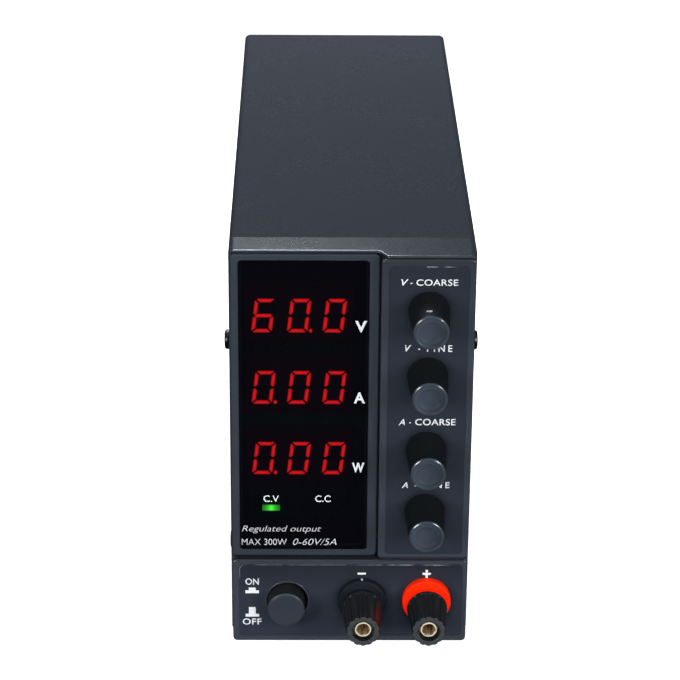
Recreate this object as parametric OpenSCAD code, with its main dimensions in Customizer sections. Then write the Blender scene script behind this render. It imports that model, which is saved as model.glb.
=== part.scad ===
// Bench-top switching DC power supply.
// The front faces -Y, Z is up, and the four feet stand on Z = 0. The origin is the middle of the
// footprint of the whole supply, between the tips of the binding posts and the back of the fan guard.
// Every module is drawn from the front face (y = 0) and the lower edge of the front panel (z = 0),
// and seat() moves it to its place over the feet.

/* [Case] */
// Width over the sheet-metal cover
case_w = 85.2; // [84.4:0.2:88]
// Height of the case without its feet
case_h = 150; // [150:1:156]
// Depth from the front face to the rear panel
case_d = 252; // [240:1:300]
// Thickness of the sheet steel
sheet = 1.0; // [0.8:0.1:1.2]
// Outside radius of the bends and of the case's long edges
bend_r = 2.2; // [1.6:0.1:3]
// Height of the rubber feet
foot_h = 5; // [3:0.5:12]

/* [Front bezel] */
// Depth of the moulded bezel from the front face to the cover
bezel_d = 17.1; // [14:0.1:24]
// Wall thickness of the moulding
wall = 2.2; // [1.8:0.1:2.6]
// Half the width of the raised front faces
face_hw = 42.0; // [41:0.1:42.4]
// How far the brow over the display stands behind the front face
brow_set = 4.6; // [2:0.1:6]
// Left edge of the raised knob face
island_x = 9.8; // [8:0.1:11]
// Height of the joint between the terminal face and the faces above it
split_z = 33.3; // [32:0.1:36]

/* [Display] */
// Lean of the display face
lean = 1.4; // [0:0.1:3]
// Height of the characters of the meters
digit_h = 12.7; // [10:0.1:14.2]
// Distance between the meter rows
row_pitch = 27.1; // [24:0.1:28]

/* [Controls] */
// Sideways place of the four knobs
knob_x = 26.1; // [25:0.1:27]
// Diameter of a knob at its face
knob_face_d = 12.1; // [11:0.1:14]
// Diameter of a knob at its base
knob_base_d = 14.2; // [13:0.1:16]
// How far a knob stands in front of the face
knob_reach = 20.2; // [14:0.1:22]
// Diameter of the power button
button_d = 13.3; // [12:0.1:14]
// How far the latched button stands in front of the face
button_reach = 7.5; // [5:0.1:9]

/* [Binding posts] */
// Sideways place of the negative post
minus_x = 4.4; // [3:0.1:5]
// Sideways place of the positive post
plus_x = 27.5; // [26:0.1:28]
// Height of the posts over the panel's lower edge
post_z = 17.3; // [16:0.1:19]
// Diameter of the insulating base ring
ring_d = 17.3; // [16:0.1:18.5]
// Bore of the brass tube, which takes a 4 mm plug
socket_d = 4.0; // [4:0.05:4.2]
// Flutes round a cap
flutes = 14; // [10:1:18]

/* [Rear] */
// Side of the square fan
fan_side = 60; // [50:1:62]
// Height of the fan's centre over the panel's lower edge
fan_z = 103; // [90:1:110]
// Height of the mains inlet's centre
inlet_z = 34; // [28:1:40]

/* [Hidden] */
$fn = 48;
tiny = 0.01;

// Overall reach in front of the front face and behind the rear panel, which set the origin
post_reach = 23.4;
rear_reach = 2.95;
front_y = post_reach - (post_reach + case_d + rear_reach) / 2;

// Case
half_w = case_w / 2;
in_hw = half_w - sheet;
sheet_gap = 0.2;
tray_hw = in_hw - sheet_gap;
rear_y = case_d - sheet;
tray_flange_h = 14;
tray_front_y = 28;
tray_front_h = 10.2;
foot_x = 30;
foot_ys = [34, case_d - 24];
foot_r = 7.5;
foot_tip_r = 6.6;
foot_recess_r = 3.6;

// Bezel
bulk_y = 8.2;
bulk_t = 2.2;
edge_r = 0.6;
corner_r = 1.6;
groove = 0.5;
brow_t = 0.85;
face_top = case_h - 1.3;
face_bottom = -0.3;
// The moulding's lower edge hangs this far below the cover's
bezel_drop = 0.6;
lip_len = 12.5;
lip_t = 1.6;
boss_z = 7;
boss_x = 33;
side_screw_y = 25;
side_screw_z = 108;
plate_proud = 0.35;

// Display: lower edge of its leaning face, and sizes along that face
disp_y = 1.69;
disp_z = split_z + groove;
disp_x0 = -face_hw;
disp_x1 = island_x - groove;
disp_h = (face_top - disp_z) / cos(lean);
window_x0 = -39.2;
window_x1 = 5.8;
window_v0 = 2.8;
window_v1 = disp_h - 2.2;
window_t = 2.4;
window_proud = 0.3;
frame_t = 4.6;
row_v = 36.9;
digit_pitch = 12.25;
digits_x = -18.4;
module_front = 3.2;
module_t = 7;
module_w = 37.6;
module_h = 19;
display_board_y = module_front + module_t;
board_t = 1.6;
lamp_v = 17.55;
lamp_xs = [-28.15, -9.8];

// Controls
knob_zs = [130.3, 105.7, 77.4, 53.0];
// Turn of each knob as it stands, clockwise from pointer up: mid-travel, then three at their lower stop
knob_turns = [0, -150, -150, -150];
knob_clear = 0.5;
nut_room_r = 6.05;
nut_room = 2.9;
bush_r = 3.45;
shaft_r = 3.0;
run_clear = 0.05;
flat_depth = 1.4;
pot_r = 8.2;
pot_y = wall + 0.2;
pot_t = 8.6;
control_board_y = 13.2;
button_x = -22.8;
button_z = 16.6;
// The button hangs in its hole with some play, so the hole's centre stands off the button's
button_hole_x = button_x + 0.4;
button_hole_z = button_z + 0.15;
button_hole_r = 7.4;
button_flange_r = 7.9;
plunger_w = 3.2;
switch_y = 15;
switch_l = 20;

// Binding posts
stud_r = 2.9;
post_hole_r = stud_r + 0.02;
ring_t = 3.1;
neck_r = 5.6;
tag_h = 12.5;
neck_end = 6.6;
cap_start = 6.8;
cap_base_r = 7.2;
cap_tip_r = 5.85;
cap_recess_r = 4.0;
stud_end = 21.9;
insert_r = 4.4;
cross_hole_y = 8.4;
insert_start = 8.2;
insert_end = 19.2;

// Rear
fan_t = 20;
fan_pitch = fan_side - 10;
duct_r = fan_side / 2 - 1.6;
hub_r = 13;
fan_y = rear_y - fan_t;
inlet_x = -9;
selector_x = 29;
selector_z = 40;
slider_travel = 5;
slider_h = 9;
slot_reach = (slider_h + slider_travel) / 2;

// Boards
board_z = 9;
board_y0 = 46;
board_y1 = 222;
board_hw = 37;

module seat() translate([0, front_y, foot_h]) children();

// Turns what is drawn along +Z so that it points out of the front, with the drawing's Y upwards
module forward() rotate([90, 0, 0]) children();

// Round bar along the depth, from y0 back to y1
module rod(x, z, y0, y1, r) translate([x, y1, z]) forward() cylinder(r = r, h = y1 - y0);

module tube(x, z, y0, y1, r, bore_r) difference() {
  rod(x, z, y0, y1, r);
  rod(x, z, y0 - 1, y1 + 1, bore_r);
}

module block(x0, x1, y0, y1, z0, z1) translate([x0, y0, z0]) cube([x1 - x0, y1 - y0, z1 - z0]);

module rounded_rect(x0, x1, z0, z1, r) {
  translate([x0 + r, z0]) square([x1 - x0 - 2 * r, z1 - z0]);
  translate([x0, z0 + r]) square([x1 - x0, z1 - z0 - 2 * r]);
  for (x = [x0 + r, x1 - r], z = [z0 + r, z1 - r]) translate([x, z]) circle(r);
}

// Plate or prism with round corners, standing upright from y0 back to y1
module upright(x0, x1, z0, z1, y0, y1, r) translate([0, y1, 0]) forward()
  linear_extrude(y1 - y0) rounded_rect(x0, x1, z0, z1, r);

// Moulded face with round corners and a rounded front edge
module raised_face(x0, x1, z0, z1, y0, y1, r) hull()
  for (x = [x0 + r, x1 - r], z = [z0 + r, z1 - r])
    translate([x, y1, z]) forward() soft_pin(r, y1 - y0);

module soft_pin(r, h) rotate_extrude($fn = 32) polygon(concat([[0, 0], [r, 0]],
  [for (a = [0:22.5:90]) [r - edge_r + edge_r * cos(a), h - edge_r + edge_r * sin(a)]], [[0, h]]));

// Frame of the leaning display face: x across, y into the case, z up the face from its lower edge
module reclined() translate([0, disp_y, disp_z]) rotate([-lean, 0, 0]) children();

// Front edge of the brow: it runs back over the display in an S-shaped step
step_x0 = island_x - 1.2;
step_x1 = step_x0 + 3.6;
function ease(t) = t * t * (3 - 2 * t);
function brow_y(x) = x <= step_x0 ? brow_set : x >= step_x1 ? 0
  : brow_set * (1 - ease((x - step_x0) / (step_x1 - step_x0)));
brow_xs = concat([-half_w - 1], [for (i = [0:10]) step_x0 + (step_x1 - step_x0) * i / 10], [half_w + 1]);
brow_edge = 0.7;
brow_section = concat([[bulk_y + bulk_t, brow_t], [bulk_y + bulk_t, 0], [0.15, 0]],
  [for (a = [180:-22.5:90]) [brow_edge + brow_edge * cos(a), brow_t - brow_edge + brow_edge * sin(a)]]);

// Loft of the brow's section along the width: the rounded nose follows the edge, the back stays straight
module brow() {
  n = len(brow_section);
  m = len(brow_xs);
  points = [for (x = brow_xs, p = brow_section)
    [x, p[0] > bulk_y ? p[0] : p[0] + brow_y(x), case_h - brow_t + p[1]]];
  sides = [for (i = [0:m - 2], j = [0:n - 1])
    [i * n + j, i * n + (j + 1) % n, (i + 1) * n + (j + 1) % n, (i + 1) * n + j]];
  first = [for (j = [n - 1:-1:0]) j];
  last = [for (j = [0:n - 1]) (m - 1) * n + j];
  polyhedron(points = points, faces = concat([first], sides, [last]), convexity = 4);
}

module front_bezel() color("#343a45") seat() difference() {
  union() {
    // Hood: the ring that meets the cover, and the bulkhead inside it
    difference() {
      upright(-half_w, half_w, -bezel_drop, case_h, bulk_y, bezel_d, bend_r);
      upright(-half_w + wall, half_w - wall, wall - bezel_drop, case_h - wall, bulk_y + bulk_t,
        bezel_d + 1, 1);
    }
    intersection() {
      brow();
      upright(-half_w, half_w, 0, case_h, -1, bulk_y + bulk_t, bend_r);
    }
    raised_face(island_x, face_hw, split_z + 0.1, face_top, 0, bulk_y + 0.5, corner_r);
    raised_face(-face_hw, face_hw, face_bottom, split_z - 0.4, 0, bulk_y + 0.5, corner_r);
    // Floors of the shallow grooves round the knob face
    block(island_x + corner_r, face_hw - 0.6, 1, bulk_y, split_z - 2, split_z + 2);
    block(island_x + corner_r, face_hw - 0.6, 1.4, bulk_y, face_top - 2, case_h - brow_t + tiny);
    // Lip inside the cover, with the bosses of the two side screws
    difference() {
      upright(-tray_hw, tray_hw, 20, case_h - sheet - sheet_gap, bezel_d - 1, bezel_d + lip_len, 1);
      upright(-tray_hw + lip_t, tray_hw - lip_t, 19, case_h - sheet - sheet_gap - lip_t,
        bezel_d - 2, bezel_d + lip_len + 1, 1);
      block(-tray_hw + lip_t, tray_hw - lip_t, bezel_d - 2, bezel_d + lip_len + 1, 19, 40);
    }
    for (s = [-1, 1]) translate([s * (tray_hw - 4), side_screw_y, side_screw_z]) rotate([0, 90, 0])
      cylinder(r = 4, h = 7.6, center = true);
    for (s = [-1, 1]) rod(s * boss_x, boss_z, bulk_y, tray_front_y, 4);
    // Collar round the power button
    rod(button_hole_x, button_hole_z, -plate_proud - 0.4, wall, button_hole_r + 0.6);
    // Bosses of the power switch and the display board
    for (s = [-1, 1]) rod(button_x + s * 11, button_z, bulk_y, switch_y, 3);
    reclined() for (x = [disp_x0 + 5.5, disp_x1 - 5.5], v = [6, disp_h - 6])
      rod(x, v, bulk_y + 0.5 - disp_y - v * sin(lean), display_board_y, 2.6);
  }
  // Hollows behind the knob face and the terminal face
  block(island_x + 2.6, face_hw - 2.4, wall + 0.2, bulk_y + bulk_t + 1, split_z + 2.6, face_top - 2.6);
  block(-12, face_hw - 2.4, wall + 0.2, bulk_y + bulk_t + 1, 5, split_z - 2.8);
  rod(button_x, button_z, wall, bulk_y + bulk_t + 1, 8.2);
  // Opening for the meters
  block(window_x0 + 1.2, window_x1 - 1.2, -1, bulk_y + bulk_t + 1, disp_z + 11, face_top - 11);
  for (z = knob_zs) rod(knob_x, z, -1, wall + 1, bush_r + 0.15);
  for (x = [minus_x, plus_x]) rod(x, post_z, -1, wall + 1, 6);
  rod(button_hole_x, button_hole_z, -2, wall + 1, button_hole_r);
  for (s = [-1, 1]) {
    translate([s * (half_w - 8), side_screw_y, side_screw_z]) rotate([0, 90, 0])
      cylinder(r = 1.4, h = 30, center = true);
    rod(s * boss_x, boss_z, 14, tray_front_y + 1, 1.3);
    rod(button_x + s * 11, button_z, 9.5, switch_y + 1, 1.1);
  }
  reclined() for (x = [disp_x0 + 5.5, disp_x1 - 5.5], v = [6, disp_h - 6])
    rod(x, v, display_board_y - 4, display_board_y + 1, 1.1);
}

module display_frame() color("#3a424f") seat() intersection() {
  reclined() difference() {
    raised_face(disp_x0, disp_x1, 0, disp_h, 0, frame_t + 3, corner_r);
    upright(window_x0, window_x1, window_v0, window_v1, -1, window_t, 1.2);
    upright(window_x0 + 1, window_x1 - 1, window_v0 + 1, window_v1 - 1, window_t - 1, frame_t + 4, 0.8);
  }
  block(-half_w, half_w, -1, bulk_y, 0, case_h);
}

module display_window() color("#0a0a0d") seat() reclined()
  upright(window_x0, window_x1, window_v0, window_v1, -window_proud, window_t, 1.2);

module knob_plate() color("#2c313c") seat() difference() {
  upright(island_x + 2.6, face_hw - 2.3, split_z + 2.4, face_top - 2.4, -plate_proud, 0, 1.5);
  for (z = knob_zs) rod(knob_x, z, -1, 1, bush_r + 0.15);
}

module terminal_plate() color("#2c313c") seat() difference() {
  upright(-face_hw + 2.5, face_hw - 1.7, 2.1, split_z - 2.0, -plate_proud, 0, 1.5);
  rod(button_hole_x, button_hole_z, -1, 1, button_hole_r + 0.6);
  for (x = [minus_x, plus_x]) rod(x, post_z, -1, 1, 6);
}

// Cover: one sheet bent over the top and down both sides
slot_w = 3;
slot_l = 24;
slot_pitch = 7;
slot_rows = 9;
slot_fronts = [60, 150];

module slot(l, w) {
  translate([w / 2, 0]) square([l - w, w]);
  for (x = [w / 2, l - w / 2]) translate([x, w / 2]) circle(w / 2);
}

// Side vents, cut through both walls at once
module side_vents() for (y = slot_fronts, k = [0:slot_rows - 1])
  translate([0, y + k * slot_pitch, 28]) rotate([0, -90, 0])
    linear_extrude(case_w + 10, center = true) slot(slot_l, slot_w);

module side_hole(y, z, r) translate([0, y, z]) rotate([0, 90, 0])
  cylinder(r = r, h = case_w + 10, center = true);

lower_screw_ys = [62, case_d - 30];
rear_screw_at = [case_d - 8, 100];

module top_cover() color("#3d424c") seat() difference() {
  upright(-half_w, half_w, -10, case_h, bezel_d, case_d, bend_r);
  upright(-in_hw, in_hw, -20, case_h - sheet, bezel_d - 1, case_d + 1, bend_r - sheet);
  block(-half_w - 1, half_w + 1, bezel_d - 1, case_d + 1, -21, 0);
  side_vents();
  side_hole(side_screw_y, side_screw_z, 1.9);
  for (y = lower_screw_ys) side_hole(y, 8, 1.9);
  side_hole(rear_screw_at[0], rear_screw_at[1], 1.9);
}

module chassis_tray() color("#8d9196") seat() difference() {
  union() {
    block(-tray_hw, tray_hw, bezel_d + sheet_gap, rear_y, 0, sheet);
    for (s = [0, 1]) mirror([s, 0, 0])
      block(tray_hw - sheet, tray_hw, tray_front_y + 2, rear_y, 0, tray_flange_h);
    block(-tray_hw + 2, tray_hw - 2, tray_front_y, tray_front_y + sheet, 0, tray_front_h);
    block(-tray_hw + 2, tray_hw - 2, rear_y - sheet, rear_y, 0, 12);
  }
  for (s = [-1, 1]) {
    rod(s * boss_x, boss_z, tray_front_y - 1, tray_front_y + 2, 1.7);
    rod(s * boss_x, 7, rear_y - 2, rear_y + 1, 1.3);
    for (y = foot_ys) translate([s * foot_x, y, -1]) cylinder(r = 1.6, h = 3);
  }
  for (y = lower_screw_ys) side_hole(y, 8, 1.3);
  // Vents under the main board
  for (k = [0:7]) translate([-12, 90 + k * 9, -1]) linear_extrude(3) slot(24, 3.4);
}

module rear_panel() color("#3d424c") seat() difference() {
  union() {
    upright(-in_hw + 0.1, in_hw - 0.1, 0, case_h - sheet - 0.1, rear_y, case_d, bend_r - sheet);
    for (s = [0, 1]) mirror([s, 0, 0])
      block(tray_hw - sheet, tray_hw, rear_y - 14, rear_y + sheet / 2, tray_flange_h + 2, case_h - 4);
    block(-tray_hw + 3, tray_hw - 3, rear_y - 10, rear_y + sheet / 2,
      case_h - 2 * sheet - sheet_gap, case_h - sheet - sheet_gap);
  }
  rod(0, fan_z, rear_y - 1, case_d + 1, duct_r);
  for (x = [-1, 1], z = [-1, 1])
    rod(x * fan_pitch / 2, fan_z + z * fan_pitch / 2, rear_y - 1, case_d + 1, 2.2);
  block(inlet_x - 13.8, inlet_x + 13.8, rear_y - 1, case_d + 1, inlet_z - 10, inlet_z + 10);
  for (s = [-1, 1]) {
    rod(inlet_x + s * 20, inlet_z, rear_y - 1, case_d + 1, 1.6);
    rod(s * boss_x, 7, rear_y - 1, case_d + 1, 1.7);
  }
  block(selector_x - 5.6, selector_x + 5.6, rear_y - 1, case_d + 1, selector_z - 9.6, selector_z + 9.6);
  side_hole(rear_screw_at[0], rear_screw_at[1], 1.3);
}

// Feet: tapered rubber pucks with a recess for their screws
module feet() color("#1b1c1e") seat() for (x = [-foot_x, foot_x], y = foot_ys)
  translate([x, y, -foot_h]) rotate_extrude() polygon([[foot_recess_r, 0], [foot_tip_r - 0.5, 0],
    [foot_tip_r, 0.5], [foot_r, foot_h], [1.6, foot_h], [1.6, 2.6], [foot_recess_r, 2.6]]);

// Pan-head screw along +Z: its head's seat is at z = 0 and its shank goes down
module pan_screw(head_r, head_h, shank_r, shank_l) difference() {
  rotate_extrude($fn = 32) polygon(concat([[0, -shank_l], [shank_r - 0.4, -shank_l],
    [shank_r, -shank_l + 0.5], [shank_r, 0], [head_r, 0]],
    [for (a = [0:30:90]) [head_r - 0.9 + 0.9 * cos(a), head_h - 0.9 + 0.9 * sin(a)]], [[0, head_h]]));
  for (a = [0, 90]) rotate(a) translate([-head_r * 0.55, -0.35, head_h * 0.55]) cube([head_r * 1.1, 0.7, 2]);
}

module foot_screws() color("silver") seat() for (x = [-foot_x, foot_x], y = foot_ys)
  translate([x, y, -foot_h + 2.6]) mirror([0, 0, 1]) pan_screw(2.9, 2, 1.45, 6);

module side_screws() color("#2b2d31") seat() for (s = [0, 1]) mirror([s, 0, 0]) {
  for (p = [[side_screw_y, side_screw_z, 7], [lower_screw_ys[0], 8, 4], [lower_screw_ys[1], 8, 4],
    [rear_screw_at[0], rear_screw_at[1], 4]])
    translate([half_w, p[0], p[1]]) rotate([0, 90, 0]) pan_screw(3.5, 2.1, 1.25, p[2]);
}

module bezel_screws() color("silver") seat() for (s = [-1, 1])
  translate([s * boss_x, tray_front_y + sheet, boss_z]) rotate([-90, 0, 0]) pan_screw(3, 2, 1.25, 9);

module rear_panel_screws() color("#2b2d31") seat() {
  for (s = [-1, 1]) translate([s * boss_x, case_d, 7]) rotate([-90, 0, 0]) pan_screw(3, 2, 1.25, 4);
  for (s = [-1, 1]) translate([inlet_x + s * 20, case_d + 2, inlet_z]) rotate([-90, 0, 0])
    pan_screw(2.5, 0.95, 1.4, 6);
  for (x = [-1, 1], z = [-1, 1])
    translate([x * fan_pitch / 2, case_d + guard_wire + eyelet_t / 2, fan_z + z * fan_pitch / 2])
      rotate([-90, 0, 0]) pan_screw(3.2, 1.5, 1.9, 12);
}

// Display inside: board, three meter modules and two lamp bars
module display_board() color("#1f5b3a") seat() reclined() difference() {
  upright(disp_x0 + 2.6, disp_x1 - 2.4, 2, disp_h - 2, display_board_y, display_board_y + board_t, 1);
  for (x = [disp_x0 + 5.5, disp_x1 - 5.5], v = [6, disp_h - 6])
    rod(x, v, display_board_y - 1, display_board_y + 3, 1.5);
}

module meter_digits(row) seat() reclined() translate([digits_x, 0, row_v + row * row_pitch])
  color("#16161a") difference() {
    block(-module_w / 2, module_w / 2, module_front, display_board_y, -module_h / 2, module_h / 2);
    // Shallow seats of the characters
    for (k = [-1, 0, 1]) block(k * digit_pitch - 4.6, k * digit_pitch + 4.6, module_front - 1,
      module_front + 0.2, -digit_h / 2 - 0.8, digit_h / 2 + 0.8);
  }

module voltage_digits() meter_digits(2);
module current_digits() meter_digits(1);
module power_digits() meter_digits(0);

module lamp(i) seat() reclined() color("#c9d6c9")
  block(lamp_xs[i] - 3.1, lamp_xs[i] + 3.1, module_front, display_board_y, lamp_v - 1.3, lamp_v + 1.3);

module cv_lamp() lamp(0);
module cc_lamp() lamp(1);

// Potentiometers: round bodies on the control board, with threaded bushings through the bezel
module control_board() color("#1f5b3a") seat()
  upright(knob_x - 13, knob_x + 13, knob_zs[3] - 11, knob_zs[0] + 11, control_board_y,
    control_board_y + board_t, 1);

module potentiometers() color("#9aa0a6") seat() for (z = knob_zs) difference() {
  union() {
    rod(knob_x, z, pot_y, pot_y + pot_t, pot_r);
    rod(knob_x, z, -2.9, pot_y + 1, bush_r);
    for (k = [-1, 0, 1]) rod(knob_x + k * 5, z - 4, pot_y + pot_t - 1, control_board_y, 0.6);
  }
  rod(knob_x, z, -4, pot_y + 5.5, shaft_r + run_clear);
}

module pot_nuts() color("#b9bcc0") seat() for (z = knob_zs) difference() {
  translate([knob_x, -plate_proud, z]) forward() cylinder(r = 5.7, h = 2, $fn = 6);
  rod(knob_x, z, -4, 1, bush_r + 0.02);
}

// Puts what is drawn round the depth axis on the axis of knob i, at the turn it stands at
module turned(i) translate([knob_x, 0, knob_zs[i]]) rotate([0, knob_turns[i], 0]) children();

// Turned shaft with a flat for the knob
module pot_shaft(i) color("#c9b27a") seat() turned(i) difference() {
  rod(0, 0, -13, pot_y + 5, shaft_r);
  block(-4, 4, -14, -4, shaft_r - flat_depth, 4);
}

// Knob: a tapered skirt with a chamfered rim, a dished face and a short pointer groove in its side
knob_start = plate_proud + knob_clear;

module knob(i) {
  base_r = knob_base_d / 2;
  face_r = knob_face_d / 2;
  bore_end = 13.2;
  // Pointer: its width and length, how far it stands behind the face, and the height of its floor
  pointer_w = 2.1;
  pointer_l = 1.5;
  pointer_back = 2.9;
  pointer_floor = face_r + 0.02;
  color("#2b303a") seat() turned(i) difference() {
    forward() rotate_extrude($fn = 96) polygon([[shaft_r + 0.02, knob_start + nut_room],
      [nut_room_r, knob_start + nut_room], [nut_room_r, knob_start], [base_r - 0.3, knob_start],
      [base_r, knob_start + 0.3], [base_r - 0.1, knob_start + 1.6], [face_r + 0.1, knob_reach - 0.6],
      [face_r - 0.06, knob_reach - 0.2], [face_r - 0.35, knob_reach], [face_r - 0.75, knob_reach],
      [face_r - 1.3, knob_reach - 0.25], [face_r - 3, knob_reach - 0.5], [0, knob_reach - 0.6],
      [0, bore_end], [shaft_r + 0.02, bore_end]]);
    // Pointer groove
    block(-pointer_w / 2, pointer_w / 2, -knob_reach + pointer_back, -knob_reach + pointer_back + pointer_l,
      pointer_floor, face_r + 2);
  }
  // Flat inside the bore, against the shaft's flat
  color("#2b303a") seat() turned(i) intersection() {
    rod(0, 0, -bore_end, -knob_start - nut_room, shaft_r + 0.5);
    block(-4, 4, -bore_end, -4, shaft_r - flat_depth + 0.02, 4);
  }
}

module knob_v_coarse() knob(0);
module knob_v_fine() knob(1);
module knob_a_coarse() knob(2);
module knob_a_fine() knob(3);
module shaft_v_coarse() pot_shaft(0);
module shaft_v_fine() pot_shaft(1);
module shaft_a_coarse() pot_shaft(2);
module shaft_a_fine() pot_shaft(3);

// Power button: a round cap with a chamfered face, held in by its flange, on a square plunger
module power_button() color("#383e49") seat() translate([button_x, 0, button_z]) difference() {
  forward() rotate_extrude($fn = 96) polygon([[0, -8], [button_flange_r, -8], [button_flange_r, -6],
    [button_d / 2, -6], [button_d / 2, button_reach - 0.5], [button_d / 2 - 0.45, button_reach - 0.06],
    [button_d / 2 - 0.9, button_reach], [0, button_reach - 0.1]]);
  block(-plunger_w / 2, plunger_w / 2, 0, 9, -plunger_w / 2, plunger_w / 2);
}

module switch_plunger() color("#d8d8d2") seat()
  block(button_x - plunger_w / 2, button_x + plunger_w / 2, 0, switch_y + 6,
    button_z - plunger_w / 2, button_z + plunger_w / 2);

module power_switch() color("#26282c") seat() difference() {
  union() {
    block(button_x - 7, button_x + 7, switch_y, switch_y + switch_l, button_z - 6, button_z + 6);
    block(button_x - 14, button_x + 14, switch_y, switch_y + 1.2, button_z - 4, button_z + 4);
    for (x = [-5, 5], z = [-3, 3])
      block(button_x + x - 0.4, button_x + x + 0.4, switch_y + switch_l, switch_y + switch_l + 4,
        button_z + z - 1, button_z + z + 1);
  }
  block(button_x - plunger_w / 2 - 0.3, button_x + plunger_w / 2 + 0.3, switch_y - 1, switch_y + 9,
    button_z - plunger_w / 2 - 0.3, button_z + plunger_w / 2 + 0.3);
  for (s = [-1, 1]) rod(button_x + s * 11, button_z, switch_y - 1, switch_y + 3, 1.4);
}

// Binding posts: an insulating ring, a brass tube, and a fluted cap with a threaded brass insert
module post_base(x) seat() translate([x, 0, post_z]) forward() rotate_extrude($fn = 96)
  polygon([[post_hole_r, -wall - 0.2], [5.9, -wall - 0.2], [5.9, plate_proud], [ring_d / 2, plate_proud],
    [ring_d / 2, ring_t - 0.5], [ring_d / 2 - 0.15, ring_t - 0.15], [ring_d / 2 - 0.5, ring_t],
    [neck_r, ring_t], [neck_r, neck_end], [post_hole_r, neck_end]]);

module post_stud(x) color("#b58d3d") seat() difference() {
  translate([x, 0, post_z]) forward() rotate_extrude() polygon([[0, -14], [stud_r - 0.3, -14],
    [stud_r, -13.6], [stud_r, stud_end - 0.12], [stud_r - 0.12, stud_end], [socket_d / 2 + 0.2, stud_end],
    [socket_d / 2, stud_end - 0.3], [socket_d / 2, stud_end - 16], [0, stud_end - 17]]);
  // Cross hole for a bare wire, uncovered as the cap is unscrewed
  translate([x, -cross_hole_y, post_z]) cylinder(r = 1.2, h = 12, center = true);
}

module post_insert(x) color("#c8a24e") seat() difference() {
  rod(x, post_z, -insert_end, -insert_start, insert_r);
  rod(x, post_z, -insert_end - 1, -insert_start + 1, stud_r + run_clear);
}

module post_cap(x) color("#17181a") seat() translate([x, 0, post_z]) difference() {
  forward() rotate_extrude($fn = 96) polygon([[insert_r + run_clear, cap_start + 0.9],
    [stud_r + 0.6, cap_start + 0.4], [stud_r + 0.6, cap_start], [cap_base_r - 0.5, cap_start],
    [cap_base_r, cap_start + 0.5], [cap_base_r - 0.02, cap_start + 1.3],
    [cap_tip_r, post_reach - 0.25], [cap_tip_r - 0.25, post_reach], [cap_recess_r + 0.2, post_reach],
    [cap_recess_r, post_reach - 0.2], [cap_recess_r, insert_end + 0.1],
    [insert_r + run_clear, insert_end + 0.1]]);
  // Flutes follow the taper, from the smooth rim at the base to the tip
  flute_r = 0.9;
  flute_depth = 0.55;
  flute_start = cap_start + 1.5;
  taper = atan((cap_base_r - cap_tip_r) / (post_reach - cap_start));
  for (k = [0:flutes - 1]) rotate([0, (k + 0.5) * 360 / flutes, 0])
    translate([0, -flute_start, cap_base_r + flute_r - flute_depth]) rotate([90 + taper, 0, 0])
      cylinder(r = flute_r, h = post_reach, $fn = 24);
}

module minus_base() color("#17181a") post_base(minus_x);
module minus_post() post_stud(minus_x);
module minus_insert() post_insert(minus_x);
module minus_cap() post_cap(minus_x);
module plus_base() color("#ff2a0a") post_base(plus_x);
module plus_post() post_stud(plus_x);
module plus_insert() post_insert(plus_x);
module plus_cap() post_cap(plus_x);

module post_washers() color("#17181a") seat() for (x = [minus_x, plus_x])
  tube(x, post_z, wall + 0.2, wall + 2.2, 8, stud_r + 0.1);

// Lock nuts, with a solder tag between the two nuts of each post
module post_nuts() color("#c8a24e") seat() for (x = [minus_x, plus_x]) difference() {
  union() {
    for (y = [wall + 2.2, wall + 6.2]) translate([x, y + 3, post_z]) forward()
      cylinder(r = 5.8, h = 3, $fn = 6);
    rod(x, post_z, wall + 5.22, wall + 6.18, 5);
    block(x - 2.5, x + 2.5, wall + 5.22, wall + 6.18, post_z, post_z + tag_h);
  }
  rod(x, post_z, 0, 20, stud_r + 0.02);
}

// Main board and what stands on it
module main_board() color("#1f5b3a") seat() difference() {
  block(-board_hw, board_hw, board_y0, board_y1, board_z, board_z + board_t);
  for (p = spacer_at) translate([p[0], p[1], board_z - 1]) cylinder(r = 1.6, h = 4);
}

spacer_at = [for (x = [-board_hw + 4, board_hw - 4], y = [board_y0 + 4, board_y1 - 4]) [x, y]];

module board_spacers() color("#c8a24e") seat() for (p = spacer_at) translate([p[0], p[1], sheet])
  difference() {
    cylinder(r = 3.2, h = board_z - sheet, $fn = 6);
    translate([0, 0, -1]) cylinder(r = 1.25, h = board_z + 2);
  }

module board_screws() color("silver") seat() {
  for (p = spacer_at) translate([p[0], p[1], board_z + board_t]) pan_screw(2.8, 1.9, 1.2, 6);
  reclined() for (x = [disp_x0 + 5.5, disp_x1 - 5.5], v = [6, disp_h - 6])
    translate([x, display_board_y + board_t, v]) rotate([-90, 0, 0]) pan_screw(2.2, 1.5, 1.05, 5);
  for (s = [-1, 1]) translate([button_x + s * 11, switch_y + 1.2, button_z]) rotate([-90, 0, 0])
    pan_screw(2.4, 1.6, 1.05, 5);
}

on_board = board_z + board_t;

module transformer() color("#c9b458") seat() translate([0, 142, on_board]) difference() {
  union() {
    // Bobbin foot, ferrite limbs and yoke
    block(-17, 17, -20, 20, 0, 5.2);
    for (s = [-1, 1]) block(-6, 6, s * 17 - 3, s * 17 + 3, 5, 39.5);
    block(-6, 6, -20, 20, 39, 45);
    // Taped winding
    translate([0, 0, 5]) linear_extrude(34.2) rounded_rect(-16, 16, -13.8, 13.8, 7);
  }
  // Margin round the lower end of the winding
  translate([0, 0, 8]) linear_extrude(4) difference() {
    square([40, 27.9], center = true);
    rounded_rect(-14.6, 14.6, -12.4, 12.4, 6);
  }
}

module capacitor(r, h) rotate_extrude($fn = 48) polygon([[0, 0], [r - 0.6, 0], [r, 0.6], [r, 2.2],
  [r - 0.5, 3], [r, 3.8], [r, h - 1], [r - 1, h], [r - 2, h - 0.4], [0, h - 0.4]]);

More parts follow.
